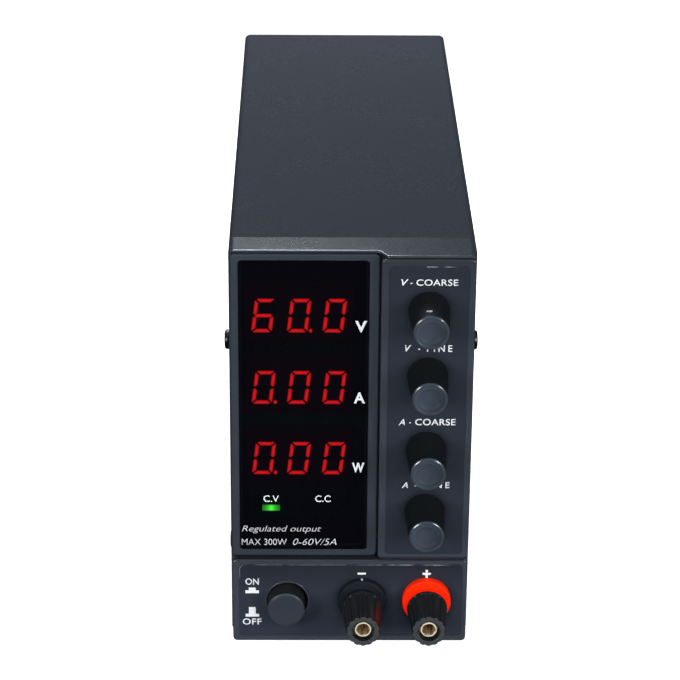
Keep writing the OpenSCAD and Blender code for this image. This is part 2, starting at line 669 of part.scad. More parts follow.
module bulk_capacitors() color("#2a3560") seat() for (x = [-14, 14])
  translate([x, 186, on_board]) capacitor(11, 42);

module output_capacitors() color("#20242c") seat() for (x = [-13, 13], y = [62, 80])
  translate([x, y, on_board]) capacitor(8, 26);

// Ring core with evenly spaced turns of wire over part or all of it
module wound_ring(ring_r, core_r, wire_d, angles) {
  rotate_extrude() translate([ring_r, 0]) circle(core_r, $fn = 12);
  for (a = angles) rotate(a) translate([ring_r, 0, 0]) rotate([90, 0, 0])
    cylinder(r = core_r + wire_d, h = wire_d, center = true, $fn = 12);
}

// Common-mode choke: a ferrite ring standing in two windings
module mains_choke() color("#a4622c") seat() translate([0, 209, on_board + 13]) rotate([90, 0, 0])
  wound_ring(8, 3.4, 1.0, [for (s = [0, 180], k = [-3:3]) s + k * 19]);

// Output inductor: powdered-iron ring lying on the board
module output_inductor() color("#b87333") seat() translate([0, 105, on_board + 6])
  wound_ring(9.6, 4.2, 1.3, [for (k = [0:13]) k * 360 / 14]);

// Heatsinks: finned extrusions along both edges of the board
module sink_section() {
  square([3, 60]);
  for (k = [0:8]) translate([3, 2 + k * 6.8]) square([7, 1.6]);
}

module heatsinks() color("#a8adb2") seat() for (s = [0, 1]) mirror([s, 0, 0])
  translate([board_hw - 13, 170, on_board]) forward() linear_extrude(96) sink_section();

module power_transistors() color("#1c1c1e") seat() for (s = [0, 1], k = [0:2]) mirror([s, 0, 0]) {
  translate([board_hw - 18, 88 + k * 30, on_board + 18]) {
    cube([5, 15.6, 20]);
    for (j = [0:2]) translate([2.1, 2 + j * 5.4, -18]) cube([0.7, 1.2, 18]);
  }
}

// Fan
module fan_frame() color("#1d1e20") seat() difference() {
  union() {
    difference() {
      upright(-fan_side / 2, fan_side / 2, fan_z - fan_side / 2, fan_z + fan_side / 2,
        fan_y, rear_y, 3.5);
      rod(0, fan_z, fan_y - 1, rear_y + 1, duct_r);
    }
    rod(0, fan_z, rear_y - 4, rear_y, hub_r);
    for (a = [30, 150, 270]) translate([0, rear_y, fan_z]) forward() rotate(a)
      translate([hub_r - 1, -1.6, 0]) cube([duct_r - hub_r + 2, 3.2, 2.6]);
  }
  for (x = [-1, 1], z = [-1, 1])
    rod(x * fan_pitch / 2, fan_z + z * fan_pitch / 2, fan_y - 1, rear_y + 1, 2);
  rod(0, fan_z, rear_y - 5, rear_y - 1, 1.5 + run_clear);
}

blade_l = 12;
blades = 7;
blade_t = 1.3;

// One blade's section across the shaft: a curved strip from the hub to just inside the duct
blade_steps = 3;
blade_sweep = 12;
blade_r0 = hub_r - 0.6;
blade_r1 = duct_r - 0.4;
function blade_point(i, side) = let (r = blade_r0 + (blade_r1 - blade_r0) * i / blade_steps,
  a = -blade_sweep * i / blade_steps, h = side * blade_t / 2)
  [r * cos(a) - h * sin(a), r * sin(a) + h * cos(a)];
blade_section = concat([for (i = [0:blade_steps]) blade_point(i, -1)],
  [for (i = [blade_steps:-1:0]) blade_point(i, 1)]);

module fan_rotor() color("#26272a") seat() translate([0, rear_y - 4.6, fan_z]) forward() {
  difference() {
    cylinder(r = hub_r, h = 13.5);
    translate([0, 0, -1]) cylinder(r = hub_r - 1.6, h = 12.5);
  }
  translate([0, 0, -3]) cylinder(r = 1.5, h = 15);
  for (k = [0:blades - 1]) rotate(k * 360 / blades)
    linear_extrude(blade_l, twist = 44, slices = 3) polygon(blade_section);
}

// Wire guard: rings welded on four legs that end in eyelets
guard_wire = 0.7;
ring_wire = 0.6;
eyelet_at = fan_pitch / 2 * sqrt(2);
eyelet_t = 1.2;
guard_rings = [4.5:5.5:26.5];

module fan_guard() color("silver") seat() translate([0, case_d + guard_wire, fan_z]) forward() {
  for (r = guard_rings) rotate_extrude() translate([r, 0.25 - guard_wire - ring_wire])
    circle(ring_wire, $fn = 10);
  for (a = [45:90:315]) rotate(a) {
    translate([4.2, 0, 0]) rotate([0, 90, 0]) cylinder(r = guard_wire, h = eyelet_at - 7.2);
    translate([eyelet_at, 0, 0]) difference() {
      cylinder(r = 3.6, h = eyelet_t, center = true);
      cylinder(r = 2.1, h = 4, center = true);
    }
  }
}

// Mains inlet: a moulded shell with three blades inside
inlet_depth = 16;
inlet_rim = 2;

module inlet_socket() color("#17181a") seat() difference() {
  union() {
    upright(inlet_x - 25, inlet_x + 25, inlet_z - 11.2, inlet_z + 11.2, case_d, case_d + inlet_rim, 4);
    upright(inlet_x - 13.6, inlet_x + 13.6, inlet_z - 9.8, inlet_z + 9.8, case_d - 19, case_d + 1, 2);
  }
  upright(inlet_x - 12, inlet_x + 12, inlet_z - 8, inlet_z + 8, case_d + inlet_rim - inlet_depth,
    case_d + inlet_rim + 1, 2.5);
  for (s = [-1, 1]) rod(inlet_x + s * 20, inlet_z, case_d - 1, case_d + 3, 1.6);
  for (p = blade_at) block(p[0] - 1, p[0] + 1, case_d - 20, case_d, p[1] - 2, p[1] + 2);
}

blade_at = [[inlet_x - 7, inlet_z + 2], [inlet_x, inlet_z - 2.5], [inlet_x + 7, inlet_z + 2]];

module inlet_pins() color("silver") seat() for (p = blade_at)
  block(p[0] - 1, p[0] + 1, case_d - 26, case_d + inlet_rim - 5, p[1] - 2, p[1] + 2);

// Mains voltage selector: a slider in a moulded body behind the rear panel
module selector_body() color("#1d1e20") seat() difference() {
  union() {
    block(selector_x - 9, selector_x + 9, case_d - 14, rear_y, selector_z - 14, selector_z + 14);
    block(selector_x - 5.4, selector_x + 5.4, rear_y - 1, case_d + 0.4, selector_z - 9.4, selector_z + 9.4);
  }
  block(selector_x - 3.6, selector_x + 3.6, case_d - 6, case_d + 1,
    selector_z - slot_reach - 0.2, selector_z + slot_reach + 0.2);
}

module selector_slider() color("#c8342a") seat() difference() {
  block(selector_x - 3.4, selector_x + 3.4, case_d - 5.8, case_d + 0.2,
    selector_z + slot_reach - slider_h, selector_z + slot_reach);
  for (k = [0:2]) block(selector_x - 4, selector_x + 4, case_d - 0.4, case_d + 1,
    selector_z + 0.2 + k * 2, selector_z + 0.9 + k * 2);
}

front_bezel();
display_frame();
display_window();
knob_plate();
terminal_plate();
top_cover();
chassis_tray();
rear_panel();
feet();
foot_screws();
side_screws();
bezel_screws();
rear_panel_screws();
display_board();
voltage_digits();
current_digits();
power_digits();
cv_lamp();
cc_lamp();
control_board();
potentiometers();
pot_nuts();
knob_v_coarse();
shaft_v_coarse();
knob_v_fine();
shaft_v_fine();
knob_a_coarse();
shaft_a_coarse();
knob_a_fine();
shaft_a_fine();
power_button();
switch_plunger();
power_switch();
minus_base();
minus_post();
minus_insert();
minus_cap();
plus_base();
plus_post();
plus_insert();
plus_cap();
post_washers();
post_nuts();
main_board();
board_spacers();
board_screws();
transformer();
bulk_capacitors();
output_capacitors();
mains_choke();
output_inductor();
heatsinks();
power_transistors();
fan_frame();
fan_rotor();
fan_guard();
inlet_socket();
inlet_pins();
selector_body();
selector_slider();
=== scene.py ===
"""The looks of a bench-top switching DC power supply, made round its solid model. Lengths are metres."""

import math

import bmesh
import bpy
from mathutils import Matrix, Vector


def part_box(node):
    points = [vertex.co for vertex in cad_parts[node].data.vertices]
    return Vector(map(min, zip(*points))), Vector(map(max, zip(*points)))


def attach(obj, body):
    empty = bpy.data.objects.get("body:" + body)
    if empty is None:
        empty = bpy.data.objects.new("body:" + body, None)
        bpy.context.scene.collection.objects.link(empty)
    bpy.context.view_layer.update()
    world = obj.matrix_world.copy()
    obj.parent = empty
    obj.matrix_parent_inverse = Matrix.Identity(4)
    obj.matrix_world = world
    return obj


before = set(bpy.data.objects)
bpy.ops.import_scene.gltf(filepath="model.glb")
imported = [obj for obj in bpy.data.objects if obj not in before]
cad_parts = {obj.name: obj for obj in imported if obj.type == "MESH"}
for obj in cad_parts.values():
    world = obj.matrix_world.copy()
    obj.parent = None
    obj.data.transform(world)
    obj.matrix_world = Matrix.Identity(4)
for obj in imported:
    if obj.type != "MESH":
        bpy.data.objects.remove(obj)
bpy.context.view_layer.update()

MM = 0.001

# Places on the front panel are given in millimetres: sideways from its middle, up from the cover's lower edge,
# and inwards from its front face
FRONT_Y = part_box("terminal_plate")[1].y
CASE_HEIGHT = 0.150
PANEL_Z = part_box("front_bezel")[1].z - CASE_HEIGHT
# The display face leans back, and its lower edge stands this far in and this high up
LEAN = math.radians(1.4)
DISPLAY_IN = 1.7
DISPLAY_UP = 34.4
# How far the two plates stand out of the panel and the window out of the display face, and how far the meter
# modules stand behind that face
PLATE_PROUD = 0.35
WINDOW_PROUD = 0.3
MODULE_IN = 3.4
PRINT_T = 0.04
# Knobs: their middles, the way that the mark of each is turned in degrees, how far they stand out of the panel,
# and the radius of their faces
KNOB_X = 26.1
KNOB_UPS = {"v_coarse": 130.3, "v_fine": 105.7, "a_coarse": 77.4, "a_fine": 53.0}
KNOB_TURNS = {"v_coarse": -6.6, "v_fine": -150, "a_coarse": -150, "a_fine": -150}
KNOB_REACH = 20.2
KNOB_FACE_R = 6.05


def place(sideways, inwards, up):
    """The point of the model that lies so many millimetres from the panel's middle, face and lower edge."""
    return Vector((sideways * MM, FRONT_Y + inwards * MM, PANEL_Z + up * MM))


# A drawing has x to the right, y up and z towards the user, in millimetres. These lay it on a face of the panel.
FACING = Matrix(((1, 0, 0, 0), (0, 0, -1, 0), (0, 1, 0, 0), (0, 0, 0, 1)))
ON_PANEL = Matrix.Translation(place(0, 0, 0)) @ Matrix.Scale(MM, 4) @ FACING
ON_DISPLAY = (
    Matrix.Translation(place(0, DISPLAY_IN, DISPLAY_UP))
    @ Matrix.Rotation(-LEAN, 4, "X")
    @ Matrix.Scale(MM, 4)
    @ FACING
)


def raised(face, height):
    """The same face, that many millimetres nearer to the user."""
    return face @ Matrix.Translation((0, 0, height))


ON_PLATES = raised(ON_PANEL, PLATE_PROUD)
ON_WINDOW = raised(ON_DISPLAY, WINDOW_PROUD)
ON_MODULES = raised(ON_DISPLAY, -MODULE_IN)


# Camera

# Viewpoint over the front panel in millimetres, and the view's direction in degrees
EYE = (-14.638, -792.780, 471.510)
YAW = 0.75208
PITCH = 23.97672
ROLL = 0.45743
LENS_MM = 133.967
SENSOR_MM = 36
# The farthest that the camera sees, in metres
FARTHEST = 50


def aim_camera():
    """Looks down on the front from the photograph's place."""
    yaw, pitch, roll = (math.radians(angle) for angle in (YAW, PITCH, ROLL))
    ahead = Vector((math.sin(yaw) * math.cos(pitch), math.cos(yaw) * math.cos(pitch), -math.sin(pitch)))
    right = Vector((math.cos(yaw), -math.sin(yaw), 0))
    up = right.cross(ahead)
    right, up = right * math.cos(roll) + up * math.sin(roll), up * math.cos(roll) - right * math.sin(roll)
    camera = bpy.data.objects.new("camera", bpy.data.cameras.new("camera"))
    camera.data.sensor_width = SENSOR_MM
    camera.data.lens = LENS_MM
    camera.data.clip_end = FARTHEST
    turn = Matrix((right, up, -ahead)).transposed().to_4x4()
    camera.matrix_world = Matrix.Translation(place(*EYE)) @ turn
    bpy.context.scene.collection.objects.link(camera)
    bpy.context.scene.camera = camera


# Colours

COVER = (0.0366, 0.0427, 0.0565)
BEZEL = (0.041, 0.050, 0.066)
# Painted shade: the bezel's brow in a darker, bluer copy of its colour
BROW_SHADE = (0.023, 0.031, 0.045)
FRAME = (0.033, 0.041, 0.054)
PLATE = (0.0215, 0.027, 0.040)
KNOB_FACE = (0.038, 0.0495, 0.067)
KNOB_SIDE = (0.009, 0.012, 0.014)
BUTTON_FACE = (0.026, 0.033, 0.047)
# Painted shade: the button's side, in the shadow of its hole
BUTTON_SIDE_SHADE = (0.003, 0.004, 0.005)
CAP_FACE = (0.046, 0.052, 0.058)
CAP_SIDE = (0.009, 0.010, 0.012)
POST_RED = (0.95, 0.020, 0.0)
WHITE_INK = (0.86, 0.88, 0.93)
DIGIT_RED = (1.0, 0.010, 0.012)
LAMP_GREEN = (0.08, 1.0, 0.06)
STEEL = (0.60, 0.61, 0.62)
# How strongly the lit parts glow, and how much the red ring and the dark meter modules glow beside their own
# colour: a painted light that evens out the ring's shaded side, and stands in for the red light of the characters
# on the modules
LAMP_GLOW = 15.0
DIGIT_GLOW = 9.5
RING_PAINTED_GLOW = 0.28
MODULE_PAINTED_GLOW = 0.02


# Finishes


class Varying:
    """A number that varies over a surface. Arithmetic on it adds Math nodes to its finish."""

    def __init__(self, finish, socket):
        self.finish = finish
        self.socket = socket

    def _math(self, operation, first, second):
        return self.finish.add("Math", {"operation": operation}, {0: first, 1: second})

    def __add__(self, other):
        return self._math("ADD", self, other)

    __radd__ = __add__

    def __sub__(self, other):
        return self._math("SUBTRACT", self, other)

    def __rsub__(self, other):
        return self._math("SUBTRACT", other, self)

    def __mul__(self, other):
        return self._math("MULTIPLY", self, other)

    __rmul__ = __mul__

    def __truediv__(self, other):
        return self._math("DIVIDE", self, other)

    def __abs__(self):
        return self._math("ABSOLUTE", self, 0.0)

    def between(self, low, high):
        """0 below low, 1 above high, and a straight ramp between them."""
        return self.finish.add("MapRange", {"clamp": True}, {"Value": self, "From Min": low, "From Max": high})


class Finish:
    """A material with one Principled shader."""

    def __init__(self, name, **sockets):
        self.material = bpy.data.materials.new(name)
        self.material.use_nodes = True
        self.tree = self.material.node_tree
        self.shader = self.tree.nodes["Principled BSDF"]
        self.set(**sockets)

    def set(self, **sockets):
        """Gives the shader's sockets their values: base_color is its Base Color, and so on."""
        for name, value in sockets.items():
            words = [w.upper() if w == "ior" else w.capitalize() for w in name.split("_")]
            self.feed(self.shader.inputs[" ".join(words)], value)
        return self

    def feed(self, socket, value):
        if isinstance(value, Varying):
            self.tree.links.new(value.socket, socket)
        elif socket.type == "RGBA" and len(value) == 3:
            socket.default_value = (*value, 1)
        else:
            socket.default_value = value

    def add(self, kind, settings=None, inputs=None, output=0):
        """A new node of that kind: its settings first, then the values or links of its sockets."""
        node = self.tree.nodes.new("ShaderNode" + kind)
        for name, value in (settings or {}).items():
            setattr(node, name, value)
        for key, value in (inputs or {}).items():
            self.feed(node.inputs[key], value)
        return Varying(self, node.outputs[output])

    def along(self, axis):
        """Place along a body axis, in metres."""
        position = self.add("TexCoord", output="Object")
        return self.add("SeparateXYZ", inputs={0: position}, output="XYZ".index(axis))

    def apart(self, middle):
        """Squared distance from the line along the Y axis through a point, in square metres."""
        over, up = self.along("X") - middle.x, self.along("Z") - middle.z
        return over * over + up * up

    def noise(self, size, detail, stretch=(1, 1, 1)):
        """Soft noise whose grains are about that many metres across, stretched along the axes."""
        position = self.add("TexCoord", output="Object")
        scaled = self.add("Mapping", inputs={"Vector": position, "Scale": [1 / (size * s) for s in stretch]})
        return self.add("TexNoise", inputs={"Vector": scaled, "Scale": 1.0, "Detail": detail})

    def mix(self, share, first, second):
        """A colour between two, by a share from 0 to 1."""
        return self.add("Mix", {"data_type": "RGBA"}, {0: share, 6: first, 7: second}, output=2)

    def relief(self, height, depth, edge=0.0):
        """Bumps of that depth on edges rounded by that radius, in metres."""
        bumps = {"Height": height, "Distance": depth, "Strength": 1.0}
        if edge:
            bumps["Normal"] = self.add("Bevel", {"samples": 4}, {"Radius": edge})
        return self.set(normal=self.add("Bump", inputs=bumps))


def tinted(colour, share):
    """A colour made lighter or darker."""
    return tuple(min(1.0, c * share) for c in colour)


def powder_coat(name, colour):
    """Baked powder coat with a fine, sandy grain."""
    grain = 0.0006
    finish = Finish(name)
    fine = finish.noise(grain, detail=3)
    coarse = finish.noise(grain * 3.2, detail=2)
    patches = finish.noise(0.03, detail=3)
    shade = finish.mix(fine.between(0.35, 0.7), tinted(colour, 0.6), tinted(colour, 1.44))
    finish.set(
        base_color=finish.mix(patches.between(0.3, 0.75), tinted(colour, 0.92), shade),
        roughness=0.55 + 0.16 * fine,
        specular_ior_level=0.01,
    )
    return finish.relief(fine * 0.7 + coarse * 0.5, 0.0001, edge=0.0004)


# Above the knobs the bezel steps back. Its brow gets a darker, bluer colour as painted shade, which starts this far
# in and is full this far in
BROW_IN = (0.8, 1.8)
# Painted shadow round the foot of a node: how many of its radii it reaches, and its shade
SHADOW_REACH = 1.35
SHADOW_TINT = 0.62


def moulding(
    name,
    colour,
    roughness=0.45,
    grain=0.0003,
    depth=0.000006,
    edge=0.0002,
    gloss=0.4,
    top_shade=0.0,
    top=(125, 146),
    groove=None,
    contact_shadows=(),
):
    """Moulded plastic with a spark-eroded texture.

    It can get painted shade: darker by a share between two heights on the panel, with faces set back there taking
    the brow's darker, bluer colour; darker in a groove across it of a middle and half width; and a painted shadow
    around the feet of nodes that stand on it.
    """
    finish = Finish(name)
    fine = finish.noise(grain, detail=2)
    flow = finish.noise(0.02, detail=3)
    shade = finish.mix(flow.between(0.3, 0.7), tinted(colour, 0.94), tinted(colour, 1.07))
    # Painted shade: darker towards the top of the panel, and the brow's darker colour on faces set back there
    if top_shade:
        height = finish.along("Z").between(*(place(0, 0, up).z for up in top))
        behind = finish.along("Y").between(*(place(0, inwards, 0).y for inwards in BROW_IN))
        duller = finish.mix(behind, tinted(colour, 1 - top_shade), BROW_SHADE)
        shade = finish.mix(height, shade, duller)
    # Painted shade in a groove across the panel
    if groove:
        middle, half = groove
        off = abs(finish.along("Z") - place(0, 0, middle).z).between(half * 0.5 * MM, half * MM)
        shade = finish.mix(off, tinted(colour, 0.5), shade)
    # Painted shadow round the foot of each node
    for node in contact_shadows:
        low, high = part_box(node)
        radius = (high.x - low.x) / 2
        clear = finish.apart((low + high) / 2).between(radius**2, (SHADOW_REACH * radius) ** 2)
        shade = finish.mix(clear, tinted(colour, SHADOW_TINT), shade)
    finish.set(
        base_color=shade,
        roughness=roughness - 0.04 + 0.08 * fine,
        specular_ior_level=gloss,
    )
    return finish.relief(fine, depth, edge)


def metal(name, colour, roughness, size=0.0002):
    """Rolled, drawn or turned metal: fine lines along the way that it was worked."""
    finish = Finish(name, metallic=1.0)
    lines = finish.noise(size, detail=3, stretch=(1, 30, 1))
    stain = finish.noise(0.006, detail=3)
    finish.set(
        base_color=finish.mix(stain.between(0.3, 0.75), colour, tinted(colour, 0.8)),
        roughness=roughness - 0.06 + 0.14 * lines,
    )
    return finish.relief(lines, 0.000002, edge=0.0001)


# The pale lip of a post's tube: the radius from which it starts, how much that edge is blurred, and the depths
# between which it ends
LIP_R = 2.45
LIP_BLUR = 0.05
LIP_DEPTHS = (0.04, 0.12)


def tube_brass(name, box):
    """Nickel-washed brass tube: a pale, bright lip round its mouth, and a brown-gold bore with streaks along it
    that are tool lines with painted reflections.
    """
    finish = Finish(name)
    low, high = box
    deep = finish.along("Y").between(*(low.y + depth * MM for depth in LIP_DEPTHS))
    lip = finish.apart((low + high) / 2).between(*(((LIP_R + blur) * MM) ** 2 for blur in (-LIP_BLUR, LIP_BLUR)))
    inside = 1 - lip * (1 - deep)
    # Streaks along the bore: tool lines, whose light and dark are painted reflections
    marks_and_reflections = finish.noise(0.0007, detail=3, stretch=(1, 12, 1)).between(0.35, 0.65)
    bore = finish.mix(marks_and_reflections, (0.13, 0.06, 0.02), (0.85, 0.62, 0.31))
    finish.set(
        base_color=finish.mix(inside, (1.0, 0.93, 0.80), bore),
        metallic=0.25 + 0.35 * inside,
        roughness=0.35,
    )
    return finish.relief(marks_and_reflections, 0.00001, edge=0.0001)


# The side of a control starts within so much behind the rim of its face
RIM_BLUR = 0.15
# A dish meets its bright rim in this range of squared shares of its radius, and is hollow in this one
DISH_RIM = (0.93, 1)
DISH_SLOPE = (0, 0.6)
# The way in which the painted light and shade of a dish run: darker to the right, and down
SHADING_RIGHT = 0.85
SHADING_DOWN = 0.65


def two_tone(
    name,
    face,
    side,
    face_y,
    roughness,
    gloss,
    dish=None,
    hollow=0.0008,
    edge=0.00015,
    painted_shading=0.0,
):
    """Moulded control: a satin face, and a darker soft-touch side behind its rim.

    A dish gives the middle of the face and the radius inside which it is duller, and hollow by a depth. The dish
    can get painted light by a share to its upper left, and painted shade by the same share to its lower right.
    """
    finish = Finish(name)
    fine = finish.noise(0.00025, detail=2)
    behind = finish.along("Y").between(face_y, face_y + RIM_BLUR * MM)
    shade = finish.mix(fine.between(0.3, 0.7), tinted(face, 0.95), tinted(face, 1.06))
    height = fine * 0.000005
    if dish:
        middle, radius = dish
        apart = finish.apart(middle) / (radius * radius)
        rim = apart.between(*DISH_RIM)
        finish.set(coat_weight=rim * (1 - behind), coat_roughness=0.2)
        height = height + apart.between(*DISH_SLOPE) * hollow
        # Painted light to the upper left of the dish, and painted shade to its lower right
        if painted_shading:
            slant = (finish.along("X") - middle.x) * SHADING_RIGHT - (finish.along("Z") - middle.z) * SHADING_DOWN
            painted_face = finish.mix(slant.between(-radius, radius), tinted(face, 1 + painted_shading), tinted(face, 1 - painted_shading))
            shade = finish.mix(rim, painted_face, shade)
    finish.set(
        base_color=finish.mix(behind, shade, side),
        roughness=roughness + 0.2 * behind - 0.04 * fine,
        specular_ior_level=gloss,
    )
    return finish.relief(height, 1.0, edge)


# The painted highlight on a film's edge gets brighter between these places along the X axis, and fades out between
# these
HIGHLIGHT_RISE = (0.0, 12 * MM)
HIGHLIGHT_END = (33 * MM, 36 * MM)


def edge_highlight(name):
    """Cut edge of a clear film, with a painted highlight in dashes that gets brighter to the right."""
    finish = Finish(name, roughness=0.35, specular_ior_level=0.5)
    # Painted highlight: the edge's colour goes pale in dashes, more so to the right
    dashes = finish.noise(0.005, detail=3).between(0.42, 0.56)
    x = finish.along("X")
    share = dashes * (0.35 + 0.65 * x.between(*HIGHLIGHT_RISE)) * (1 - x.between(*HIGHLIGHT_END))
    return finish.set(base_color=finish.mix(share, PLATE, (0.42, 0.44, 0.48)))


WINDOW_ALPHA = 0.72


def smoked_acrylic(name):
    """Dark clear sheet. The characters behind it show through a little."""
    finish = Finish(name, base_color=(0.002, 0.002, 0.004), alpha=WINDOW_ALPHA, specular_ior_level=0.1)
    ripple = finish.noise(0.012, detail=2)
    finish.set(roughness=0.12 + 0.06 * ripple)
    return finish.relief(ripple, 0.00002, edge=0.0003)


def glowing(name, colour, strength):
    """Lit diffuser. The attribute glow is 1 in the middle of each lit shape and 0 at its rim."""
    finish = Finish(name, roughness=0.5, emission_strength=strength)
    glow = finish.add("Attribute", {"attribute_name": "glow"}, output="Fac")
    speck = finish.noise(0.0008, detail=2)
    shade = finish.mix(glow * 0.9 + 0.2 * speck, tinted(colour, 0.02), colour)
    return finish.set(base_color=tinted(colour, 0.3), emission_color=shade)


def lit_lamp(name, colour, strength, box):
    """Clear lens of a lamp: brightest in the middle of its front face, and dark at its rim and sides."""
    finish = Finish(name, roughness=0.4, emission_strength=strength)
    low, high = box
    middle, size = (low + high) / 2, high - low
    front = 1 - finish.along("Y").between(low.y, low.y + 0.3 * MM)
    over = abs(finish.along("X") - middle.x).between(0, size.x / 2)
    up = abs(finish.along("Z") - middle.z).between(size.z * 0.28, size.z * 0.5)
    speck = finish.noise(0.0012, detail=2)
    spread = (1 - over) * (1 - over) * 0.8 + 0.16 + 0.08 * speck
    return finish.set(
        base_color=tinted(colour, 0.08),
        emission_color=finish.mix(front * (1 - up) * spread, tinted(colour, 0.004), colour),
    )


def circuit_board(name):
    """Green solder mask over copper lines."""
    finish = Finish(name, specular_ior_level=0.5)
    lines = finish.add(
        "TexBrick",
        {"offset": 0.35},
        {
            "Vector": finish.add("TexCoord", output="Object"),
            "Scale": 90.0,
            "Mortar Size": 0.03,
            "Mortar Smooth": 0.2,
        },
        output="Fac",
    )
    mask = finish.noise(0.004, detail=2)
    shade = finish.mix(mask, (0.008, 0.085, 0.04), (0.012, 0.12, 0.055))
    finish.set(base_color=finish.mix(lines, shade, (0.03, 0.22, 0.09)), roughness=0.28 + 0.2 * mask)
    return finish.relief(lines, 0.00003)


def dress(finish, *nodes):
    """Gives a finish to nodes of the solid model."""
    for node in nodes:
        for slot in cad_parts[node].material_slots:
            slot.material = finish.material


# Painted shade in the groove between the display and the terminal face: its middle and its half width
GROOVE_SHADE = (33.4, 1.3)
# How far behind their foremost point the rims of the controls turn to their sides, and how wide two dishes are
KNOB_RIM = 0.65
BUTTON_RIM = 0.6
CAP_RIM = 0.3
KNOB_DISH_R = 5.35
BUTTON_DISH_R = 5.75
# The smooth disc over the middle of the button: its radius, and how far behind the button's foremost point it lies
BUTTON_DISC_R = 2.6
BUTTON_DISC_IN = 0.04


def dress_case():
    """The outer parts: cover, bezel, plates, window, tray, feet and screws."""
    dress(powder_coat("powder_coat", COVER), "top_cover", "rear_panel")
    # Painted shade on the bezel: darker under its brow, a darker and bluer brow, and darker in the groove below the
    # display
    bezel = moulding(
        "bezel_moulding",
        BEZEL,
        roughness=0.22,
        grain=0.002,
        depth=0.000001,
        edge=0.00035,
        gloss=0.5,
        top_shade=0.3,
        groove=GROOVE_SHADE,
    )
    dress(bezel, "front_bezel")
    dress(moulding("frame_moulding", FRAME, roughness=0.4, edge=0.0003, gloss=0.15), "display_frame")
    knobs = [f"knob_{name}" for name in KNOB_UPS]
    # Painted shade at the top of the knob film, and painted shadows round the knobs
    dress(moulding("knob_film", PLATE, grain=0.0005, gloss=0.2, top_shade=0.18, contact_shadows=knobs), "knob_plate")
    # Painted light: the terminal film is the knob film's colour made lighter, for the light on the lower panel. It
    # also gets painted shade at its top and painted shadows round the posts
    terminal_film = moulding(
        "terminal_film",
        tinted(PLATE, 1.2),
        grain=0.0005,
        gloss=0.2,
        top_shade=0.38,
        top=(20, 30),
        contact_shadows=("minus_base", "plus_base"),
    )
    dress(terminal_film, "terminal_plate")
    dress(smoked_acrylic("smoked_acrylic"), "display_window")
    dress(metal("zinc_sheet", STEEL, roughness=0.34, size=0.0006), "chassis_tray")
    dress(moulding("foot_rubber", (0.018, 0.018, 0.019), roughness=0.7, depth=0.00002, gloss=0.25), "feet")
    dress(metal("black_zinc", (0.035, 0.037, 0.042), roughness=0.3), "side_screws", "rear_panel_screws")
    dress(metal("bright_zinc", (0.66, 0.66, 0.68), roughness=0.25), "foot_screws", "bezel_screws", "board_screws")


def dress_controls():
    """Knobs, button and what they turn or push."""
    for name, up in KNOB_UPS.items():
        face_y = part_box("knob_" + name)[0].y + KNOB_RIM * MM
        # Each knob's dish gets painted light to its upper left and painted shade to its lower right
        knob = two_tone(
            "knob_" + name,
            KNOB_FACE,
            KNOB_SIDE,
            face_y,
            roughness=0.45,
            gloss=0.05,
            dish=(place(KNOB_X, 0, up), KNOB_DISH_R * MM),
            edge=0.0002,
            painted_shading=0.42,
        )
        dress(knob, "knob_" + name)
        dress(metal("turned_shaft_" + name, (0.78, 0.78, 0.80), roughness=0.25), "shaft_" + name)
    low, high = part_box("power_button")
    # The button's side is near black as painted shade in its hole
    button = two_tone(
        "button_moulding",
        BUTTON_FACE,
        BUTTON_SIDE_SHADE,
        low.y + BUTTON_RIM * MM,
        roughness=0.5,
        gloss=0.35,
        dish=((low + high) / 2, BUTTON_DISH_R * MM),
        hollow=0.0001,
    )
    dress(button, "power_button")
    cover_button_middle(button)
    dress(moulding("nylon", (0.62, 0.62, 0.56), roughness=0.45), "switch_plunger")
    dress(moulding("switch_case", (0.02, 0.02, 0.022)), "power_switch", "post_washers", "selector_body")
    dress(metal("tinned_steel", (0.62, 0.63, 0.65), roughness=0.3), "potentiometers", "pot_nuts")


def dress_posts():
    """The two binding posts from their rings to their nuts."""
    navy = moulding("base_navy", (0.012, 0.0145, 0.021), roughness=0.6, edge=0.0001, gloss=0.05)
    dress(navy, "minus_base")
    red = moulding("post_red", POST_RED, roughness=0.5, grain=0.0008, depth=0.000003, edge=0.0001, gloss=0.1)
    # Painted light: a glow that evens out the ring's shaded side
    red.set(emission_color=(1.0, 0.014, 0.0), emission_strength=RING_PAINTED_GLOW)
    dress(red, "plus_base")
    for name in ("minus_cap", "plus_cap"):
        face_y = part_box(name)[0].y + CAP_RIM * MM
        cap = two_tone(name + "_moulding", CAP_FACE, CAP_SIDE, face_y, roughness=0.2, gloss=0.45, edge=0.0003)
        dress(cap, name)
    for name in ("minus_post", "plus_post"):
        dress(tube_brass("tube_brass_" + name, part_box(name)), name)
    nickel = metal("nickel_brass", (0.72, 0.64, 0.48), roughness=0.25)
    dress(nickel, "minus_insert", "plus_insert", "post_nuts", "board_spacers")


